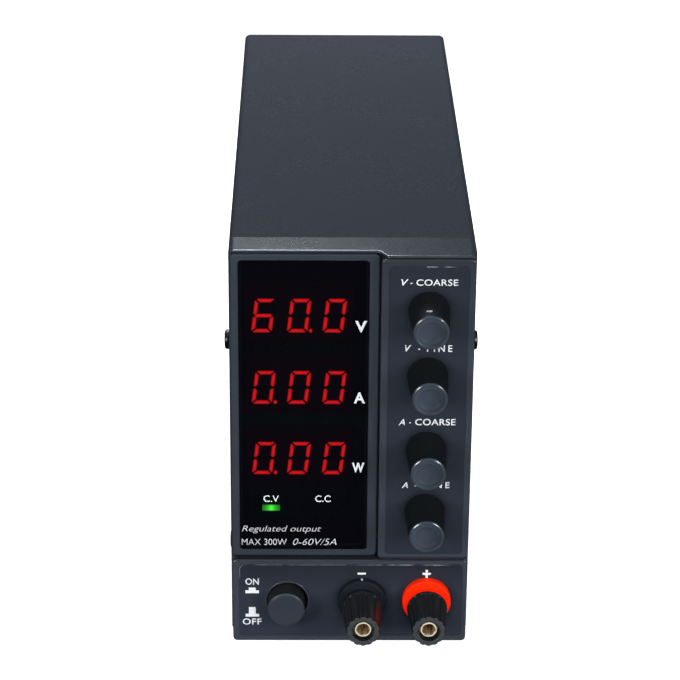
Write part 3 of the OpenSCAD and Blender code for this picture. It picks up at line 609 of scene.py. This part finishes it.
def dress_inside():
    """Boards and what stands on them."""
    dress(circuit_board("circuit_board"), "main_board", "control_board", "display_board")
    meter = moulding("meter_black", (0.006, 0.006, 0.007), roughness=0.5)
    # Painted light: a faint red glow standing in for the light of the characters
    meter.set(emission_color=(1.0, 0.02, 0.05), emission_strength=MODULE_PAINTED_GLOW)
    dress(meter, "voltage_digits", "current_digits", "power_digits")
    dress(moulding("transformer_tape", (0.55, 0.40, 0.05), roughness=0.35, grain=0.002), "transformer")
    dress(moulding("bulk_sleeve", (0.015, 0.03, 0.10), roughness=0.25), "bulk_capacitors")
    dress(moulding("output_sleeve", (0.012, 0.014, 0.02), roughness=0.25), "output_capacitors")
    dress(metal("enamelled_copper", (0.62, 0.24, 0.09), roughness=0.3), "mains_choke", "output_inductor")
    dress(metal("extruded_aluminium", (0.72, 0.73, 0.75), roughness=0.35), "heatsinks")
    dress(moulding("epoxy", (0.014, 0.014, 0.015), roughness=0.5), "power_transistors")


def dress_rear():
    """The fan, the mains inlet and the voltage selector."""
    dress(moulding("fan_moulding", (0.012, 0.012, 0.013), roughness=0.4), "fan_frame", "fan_rotor")
    dress(metal("bright_wire", (0.74, 0.74, 0.76), roughness=0.16), "fan_guard", "inlet_pins")
    dress(moulding("inlet_moulding", (0.011, 0.011, 0.012), roughness=0.38), "inlet_socket")
    dress(moulding("selector_red", (0.45, 0.02, 0.015), roughness=0.35), "selector_slider")


def dress_lamps():
    """The lit and the dark lamp of the display."""
    dress(lit_lamp("lamp_lit", LAMP_GREEN, LAMP_GLOW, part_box("cv_lamp")), "cv_lamp")
    dress(moulding("lamp_dark", (0.03, 0.05, 0.03), roughness=0.4), "cc_lamp")


# New pieces


def piece(name, bm, lay, finish, body="case"):
    """An object made of a drawing laid in its place, with a finish, riding on a body."""
    bmesh.ops.remove_doubles(bm, verts=bm.verts, dist=1e-5)
    bmesh.ops.recalc_face_normals(bm, faces=bm.faces)
    bmesh.ops.transform(bm, matrix=lay, verts=bm.verts)
    mesh = bpy.data.meshes.new(name)
    bm.to_mesh(mesh)
    bm.free()
    made = bpy.data.objects.new(name, mesh)
    mesh.materials.clear()
    mesh.materials.append(finish.material)
    bpy.context.scene.collection.objects.link(made)
    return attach(made, body)


def cover_button_middle(finish):
    """A smooth disc over the middle of the button's hollow face."""
    low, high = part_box("power_button")
    bm = bmesh.new()
    bmesh.ops.create_circle(bm, cap_ends=True, segments=48, radius=BUTTON_DISC_R * MM)
    middle = Vector(((low.x + high.x) / 2, low.y + BUTTON_DISC_IN * MM, (low.z + high.z) / 2))
    lay = Matrix.Translation(middle) @ Matrix.Rotation(math.pi / 2, 4, "X")
    piece("button_middle", bm, lay, finish, "button")


def lettering(words, left, right, low, high, slant=0.0, weight=0.012, gap=1.0):
    """Words as a thin solid that fills the given box of a drawing."""
    curve = bpy.data.curves.new("words", "FONT")
    curve.body = words
    curve.shear = slant
    curve.offset = weight
    curve.space_character = gap
    curve.extrude = 0.1
    curve.resolution_u = 5
    drawn = bpy.data.objects.new("words", curve)
    bpy.context.scene.collection.objects.link(drawn)
    bpy.context.view_layer.update()
    mesh = bpy.data.meshes.new_from_object(drawn.evaluated_get(bpy.context.evaluated_depsgraph_get()))
    bpy.data.objects.remove(drawn)
    bm = bmesh.new()
    bm.from_mesh(mesh)
    low_corner = [min(v.co[i] for v in bm.verts) for i in range(3)]
    high_corner = [max(v.co[i] for v in bm.verts) for i in range(3)]
    target = ((left, right), (low, high), (0, PRINT_T))
    for v in bm.verts:
        v.co = [
            a + (v.co[i] - low_corner[i]) * (b - a) / (high_corner[i] - low_corner[i])
            for i, (a, b) in enumerate(target)
        ]
    return bm


def printed(name, face, ink, words, left, right, low, high, **style):
    """A line of printed words on a face of the panel."""
    piece(name, lettering(words, left, right, low, high, **style), face, ink)


def add_plate(bm, outline, thickness):
    """Flat plate with the given outline, added to a drawing. Gives the raised face."""
    face = bm.faces.new([bm.verts.new((x, y, 0)) for x, y in outline])
    grown = bmesh.ops.extrude_face_region(bm, geom=[face])
    verts = [v for v in grown["geom"] if isinstance(v, bmesh.types.BMVert)]
    bmesh.ops.translate(bm, verts=verts, vec=(0, 0, thickness))
    return [f for f in grown["geom"] if isinstance(f, bmesh.types.BMFace)]


def printed_shape(name, ink, outline):
    """A thin plate printed on one of the panel's two plates."""
    bm = bmesh.new()
    add_plate(bm, outline, PRINT_T)
    piece(name, bm, ON_PLATES, ink)


def rectangle(left, right, low, high):
    return [(left, low), (right, low), (right, high), (left, high)]


def ellipse(x, y, half_width, half_height):
    turns = [2 * math.pi * k / 20 for k in range(20)]
    return [(x + half_width * math.cos(a), y + half_height * math.sin(a)) for a in turns]


def plus_outline(x, y, width, height, bar):
    a, b, c = width / 2, height / 2, bar / 2
    right = [(c, b), (c, c), (a, c), (a, -c), (c, -c), (c, -b)]
    left = [(-c, -b), (-c, -c), (-a, -c), (-a, c), (-c, c), (-c, b)]
    return [(x + p, y + q) for p, q in right + left]


def button_picture(x, low, top):
    """A bar with a block standing on it."""
    bar_w, bar_h, block_w = 4.87, 1.2, 2.5
    a, b, step = bar_w / 2, block_w / 2, low + bar_h
    corners = [(-a, low), (a, low), (a, step), (b, step), (b, top), (-b, top), (-b, step), (-a, step)]
    return [(x + p, q) for p, q in corners]


# A painted glint, a small white spot on top of the negative post's ring: sideways, inwards, and how deep it is sunk
RING_GLINT = (4.25, -1.5)
RING_GLINT_SUNK = 0.01


def print_symbols(ink):
    """Minus and plus signs, the pictures of the button in and out, and a painted glint on the negative post's ring.
    """
    printed_shape("minus_sign", ink, rectangle(2.71, 5.69, 27.28, 28.05))
    printed_shape("plus_sign", ink, plus_outline(27.43, 27.64, 2.97, 3.2, 0.85))
    printed_shape("on_picture", ink, button_picture(-35.0, 19.6, 21.9))
    printed_shape("off_picture", ink, button_picture(-35.0, 9.95, 13.9))
    # Painted glint: a small white spot on top of the negative post's ring
    bm = bmesh.new()
    add_plate(bm, ellipse(0, 0, 0.38, 0.8), PRINT_T)
    top = (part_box("minus_base")[1].z - PANEL_Z) / MM
    lay = Matrix.Translation(place(*RING_GLINT, top - RING_GLINT_SUNK)) @ Matrix.Scale(MM, 4)
    piece("minus_ring_glint", bm, lay, ink)


# Edges of the films, with painted highlights: the radius of their corners, how far they are raised, how far down
# the left side the one of the terminal plate starts, and how far to the right the one of the knob plate does
FILM_CORNER_R = 2.0
FILM_EDGE_RAISED = 0.02
TERMINAL_EDGE_DROP = 6.0
KNOB_EDGE_FROM = 25.0


def film_corner(x, top, start):
    """Upper corner with its middle at x, run through clockwise from an angle in degrees.

    Gives its points, each with the way inwards.
    """
    turns = [math.radians(start) - math.pi / 2 * k / 8 for k in range(9)]
    ways = [(math.cos(a), math.sin(a)) for a in turns]
    return [((x + FILM_CORNER_R * p, top - FILM_CORNER_R + FILM_CORNER_R * q), (-p, -q)) for p, q in ways]


def build_edge_highlights(finish):
    """The upper edges of the films on the two plates, with painted highlights."""
    for name, width, right_drop in (("terminal_plate", 0.22, 1.2), ("knob_plate", 0.2, 1.5)):
        low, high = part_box(name)
        left, right, top = low.x / MM, high.x / MM, (high.z - PANEL_Z) / MM
        if name == "terminal_plate":
            path = [((left, top - TERMINAL_EDGE_DROP), (1, 0))] + film_corner(left + FILM_CORNER_R, top, 180)
        else:
            path = [((KNOB_EDGE_FROM, top), (0, -1))]
        path += film_corner(right - FILM_CORNER_R, top, 90)
        path += [((right, top - FILM_CORNER_R - right_drop), (-1, 0))]
        bm = bmesh.new()
        for outer in zip(path, path[1:]):
            inner = [((x + width * p, y + width * q), (p, q)) for (x, y), (p, q) in reversed(outer)]
            bm.faces.new([bm.verts.new((x, y, FILM_EDGE_RAISED)) for (x, y), _ in (*outer, *inner)])
        piece(name + "_edge", bm, ON_PLATES, finish)


# Meter characters: seven bars and a point, drawn upright in millimetres and then slanted
CHAR_W = 7.3
CHAR_H = 12.65
BAR_T = 1.45
BAR_GAP = 0.3
BAR_RAISED = 0.12
# Cut of the outer corners, how much shorter the middle bar is at each end, and how much the upright bars at theirs
CORNER = 0.35
MIDDLE_CUT = 0.2
UPRIGHT_CUT = 0.35
POINT = (8.45, 0.75)
POINT_R = 0.8
SLANT = 0.12
# The glow of a lit bar rises to this share over a rim of this width, and to 1 in its middle
GLOW_AT_RIM = 0.6
GLOW_RIM = 0.32
CHAR_LEFT = -35.0
CHAR_PITCH = 12.3
ROW_LOWS = {"voltage": 84.2, "current": 57.2, "power": 30.0}
LIT = {"0": "abcdef", "6": "acdefg"}
# The figures of each row, and the place of the one that the lit point follows
READINGS = {"voltage": ("600", 1), "current": ("000", 0), "power": ("000", 0)}


def bar_outline(bar):
    """Outline of one of the bars a to g, clockwise from the top, with the middle one last."""
    w, h, t, g, c = CHAR_W, CHAR_H, BAR_T, BAR_GAP, CORNER
    if bar == "g":
        m, s, end = h / 2, t / 2, g + MIDDLE_CUT
        upper = [(w - end, m), (w - end - s, m + s), (end + s, m + s)]
        return [(end, m), (end + s, m - s), (w - end - s, m - s)] + upper
    if bar in "ad":
        left = [(g + 2 * c, h), (g + c, h - c), (g + t, h - t)]
        points = left + [(w - x, y) for x, y in reversed(left)]
    else:
        upper = [(0, h - g - 2 * c), (c, h - g - c), (t, h - g - t)]
        points = [(0, h / 2 + g + UPRIGHT_CUT)] + upper + [(t, h / 2 + t / 2 + g), (t / 2, h / 2 + g)]
    if bar in "bc":
        points = [(w - x, y) for x, y in points]
    if bar in "cde":
        points = [(x, h - y) for x, y in points]
    return points


def add_lit_plate(bm, outline, lit, turn):
    """A bar or a point of a character. When it is lit, its attribute glow rises from its rim to its middle."""
    glow = bm.verts.layers.float["glow"]
    known = set(bm.verts)
    for face in add_plate(bm, outline, BAR_RAISED):
        bmesh.ops.inset_individual(bm, faces=[face], thickness=GLOW_RIM, depth=0.0)
        for v in face.verts:
            v[glow] = GLOW_AT_RIM if lit else 0.0
        for v in bmesh.ops.poke(bm, faces=[face])["verts"]:
            v[glow] = 1.0 if lit else 0.0
    bmesh.ops.transform(bm, matrix=turn, verts=[v for v in bm.verts if v not in known])


def build_characters(lit_finish, dark_finish):
    """The lit and unlit bars of the three meters, on the faces of their modules."""
    slanted = Matrix(((1, SLANT, 0, 0), (0, 1, 0, 0), (0, 0, 1, 0), (0, 0, 0, 1)))
    for row, (reading, point_after) in READINGS.items():
        drawings = {True: bmesh.new(), False: bmesh.new()}
        for bm in drawings.values():
            bm.verts.layers.float.new("glow")
        for k, figure in enumerate(reading):
            corner = Matrix.Translation((CHAR_LEFT + k * CHAR_PITCH, ROW_LOWS[row], 0))
            for bar in "abcdefg":
                lit = bar in LIT[figure]
                add_lit_plate(drawings[lit], bar_outline(bar), lit, corner @ slanted)
            lit = k == point_after
            add_lit_plate(drawings[lit], ellipse(*POINT, POINT_R, POINT_R), lit, corner)
        for lit, bm in drawings.items():
            finish, slot = (lit_finish, "lit_segments") if lit else (dark_finish, "dark_segments")
            piece(f"{row}_{'lit' if lit else 'dark'}_bars", bm, ON_MODULES, finish)


# Each knob's label: its lower and upper side, its letter and word with their left and right sides, those of the
# dash between them, and how far the word is spread
KNOB_LABELS = (
    ("v_coarse", (139.3, 141.65), "V", (16.47, 18.88), (19.5, 20.3), "COARSE", (21.55, 35.8), 1.05),
    ("v_fine", (114.7, 117.2), "V", (18.1, 20.2), (22.6, 23.35), "FINE", (25.7, 34.4), 1.45),
    ("a_coarse", (86.65, 89.12), "A", (16.37, 18.6), (20.05, 20.7), "COARSE", (22.15, 36.2), 1.05),
    ("a_fine", (62.1, 64.43), "A", (17.85, 20.1), (22.4, 23.2), "FINE", (25.7, 34.7), 1.45),
)
# A label's dash lies between these distances below the label's middle
DASH_DROPS = (0.47, 0.1)
ITALIC = 0.28
THIN = -0.012


def print_words(ink):
    """Lettering of the knobs, the button, the lamps and the units."""
    for name, (low, high), letter, letter_sides, dash_sides, word, word_sides, gap in KNOB_LABELS:
        printed(name + "_letter", ON_PLATES, ink, letter, *letter_sides, low, high, slant=ITALIC)
        printed(name + "_word", ON_PLATES, ink, word, *word_sides, low, high, gap=gap)
        dash = rectangle(*dash_sides, *((low + high) / 2 - drop for drop in DASH_DROPS))
        printed_shape(name + "_dash", ink, dash)
    printed("on_word", ON_PLATES, ink, "ON", -37.4, -32.6, 23.07, 25.69, gap=1.05)
    printed("off_word", ON_PLATES, ink, "OFF", -38.5, -31.7, 6.62, 9.2, gap=1.05)
    printed("volt_unit", ON_WINDOW, ink, "V", 0.97, 5.07, 85.75, 90.15, weight=0.03)
    printed("ampere_unit", ON_WINDOW, ink, "A", 0.74, 4.7, 59.1, 63.35, weight=0.03)
    printed("watt_unit", ON_WINDOW, ink, "W", 0.34, 4.74, 32.5, 36.3, weight=0.04)
    printed("voltage_lamp_word", ON_WINDOW, ink, "C.V", -30.83, -25.33, 20.9, 23.5)
    printed("current_lamp_word", ON_WINDOW, ink, "C.C", -12.58, -7.06, 20.9, 23.5)
    printed("title_words", ON_WINDOW, ink, "Regulated output", -38.5, -10.4, 8.5, 11.5, slant=ITALIC, weight=THIN)
    printed("power_words", ON_WINDOW, ink, "MAX 300W", -38.6, -22.6, 3.85, 6.3, weight=THIN)
    printed("range_words", ON_WINDOW, ink, "0-60V/5A", -20.4, -4.9, 3.85, 6.4, slant=ITALIC, weight=THIN)


# A knob's mark: its width, length and thickness, how far behind the knob's front and above the radius of its face
# the mark's middle lies, and how much its edges are rounded
MARK = (2.0, 1.0, 0.34)
MARK_BEHIND = 4.5
MARK_PROUD = 0.14
MARK_EDGE = 0.06


def build_pointers(ink):
    """The white mark let into each knob's side, just behind its rim."""
    for name, up in KNOB_UPS.items():
        bm = bmesh.new()
        bmesh.ops.create_cube(bm, size=1)
        bmesh.ops.scale(bm, vec=MARK, verts=bm.verts)
        bmesh.ops.translate(bm, vec=(0, MARK_BEHIND - KNOB_REACH, KNOB_FACE_R + MARK_PROUD), verts=bm.verts)
        bmesh.ops.bevel(bm, geom=bm.edges, offset=MARK_EDGE, segments=2, profile=0.5, affect="EDGES", material=-1)
        turn = Matrix.Rotation(math.radians(KNOB_TURNS[name]), 4, "Y")
        lay = Matrix.Translation(place(KNOB_X, 0, up)) @ Matrix.Scale(MM, 4) @ turn
        piece("pointer_" + name, bm, lay, ink, "dial_" + name)


# Stage

FLOOR_HALF = 6
FLOOR_GLOW = 0.85
ROOM_LIGHT = 0.08
ROOM_COLOUR = (0.92, 0.96, 1.0)
SHEEN_COLOUR = (0.85, 0.94, 1.0)
LIT_MIDDLE = Vector((0, -0.11, 0.11))
# Each box's name, place, width and height in metres, how strongly it lights the middle of the front,
# and whether it gives body light and sheen
SOFT_BOXES = (
    ("left_box", (-1.0, -1.25, 0.60), (0.45, 0.55), 1.3, True, True),
    ("right_box", (1.0, -1.25, 0.60), (0.45, 0.55), 1.3, True, True),
    ("front_box", (0.0, -1.5, 0.68), (0.9, 0.7), 1.85, True, False),
    ("back_box", (0.0, 0.40, 0.42), (0.4, 0.3), 2.8, True, False),
    ("sheen_box", (-0.10, 0.326, 0.551), (0.25, 0.2), 3.0, False, True),
    ("top_box", (0.0, -0.25, 1.1), (1.2, 0.25), 1.0, False, True),
    ("left_rim_box", (-0.98, -1.22, 0.60), (0.45, 0.55), 1.6, False, True),
    ("right_rim_box", (0.98, -1.22, 0.60), (0.45, 0.55), 1.6, False, True),
)


def lay_floor():
    """A pale paper floor that glows, so that it stays white up to the horizon."""
    bm = bmesh.new()
    bmesh.ops.create_grid(bm, x_segments=1, y_segments=1, size=FLOOR_HALF)
    mesh = bpy.data.meshes.new("floor")
    bm.to_mesh(mesh)
    bm.free()
    floor = bpy.data.objects.new("floor", mesh)
    paper = Finish("floor_paper", roughness=0.9, specular_ior_level=0.0, emission_strength=FLOOR_GLOW)
    fibres = paper.noise(0.002, detail=2)
    shade = paper.mix(fibres, (0.84, 0.84, 0.84), (0.88, 0.88, 0.88))
    paper.set(base_color=shade, emission_color=(1.0, 1.0, 1.0))
    mesh.materials.append(paper.material)
    bpy.context.scene.collection.objects.link(floor)
    floor.visible_glossy = False
    floor.visible_diffuse = False


def light_stage():
    """A dim room with soft boxes to the left, to the right, in front, behind and overhead."""
    world = bpy.data.worlds.new("room")
    world.use_nodes = True
    background = world.node_tree.nodes["Background"]
    background.inputs["Color"].default_value = (*ROOM_COLOUR, 1)
    background.inputs["Strength"].default_value = ROOM_LIGHT
    bpy.context.scene.world = world
    for name, spot, size, strength, body_light, sheen in SOFT_BOXES:
        light = bpy.data.lights.new(name, "AREA")
        light.shape = "RECTANGLE"
        light.size, light.size_y = size
        light.color = (1.0, 1.0, 1.0) if body_light else SHEEN_COLOUR
        lamp = bpy.data.objects.new(name, light)
        lamp.location = Vector(spot)
        away = LIT_MIDDLE - lamp.location
        light.energy = math.pi * away.length_squared * strength
        lamp.rotation_mode = "QUATERNION"
        lamp.rotation_quaternion = away.to_track_quat("-Z", "Y")
        lamp.visible_diffuse = body_light
        lamp.visible_glossy = sheen
        bpy.context.scene.collection.objects.link(lamp)


def build():
    bpy.context.scene.view_settings.view_transform = "Standard"
    aim_camera()
    dress_case()
    dress_controls()
    dress_posts()
    dress_inside()
    dress_rear()
    dress_lamps()
    ink = moulding("white_ink", WHITE_INK, roughness=0.5, grain=0.0006, depth=0.000002, gloss=0.3)
    print_words(ink)
    print_symbols(ink)
    # Painted highlights along the films' upper edges
    build_edge_highlights(edge_highlight("edge_highlight"))
    # Painted shade: the knobs' marks are the white ink at half its brightness
    build_pointers(moulding("pointer_ink_shaded", tinted(WHITE_INK, 0.5), roughness=0.5, gloss=0.2))
    lit = glowing("character_lit", DIGIT_RED, DIGIT_GLOW)
    dark = moulding("character_dark", (0.02, 0.012, 0.012), roughness=0.5)
    build_characters(lit, dark)
    lay_floor()
    light_stage()


build()
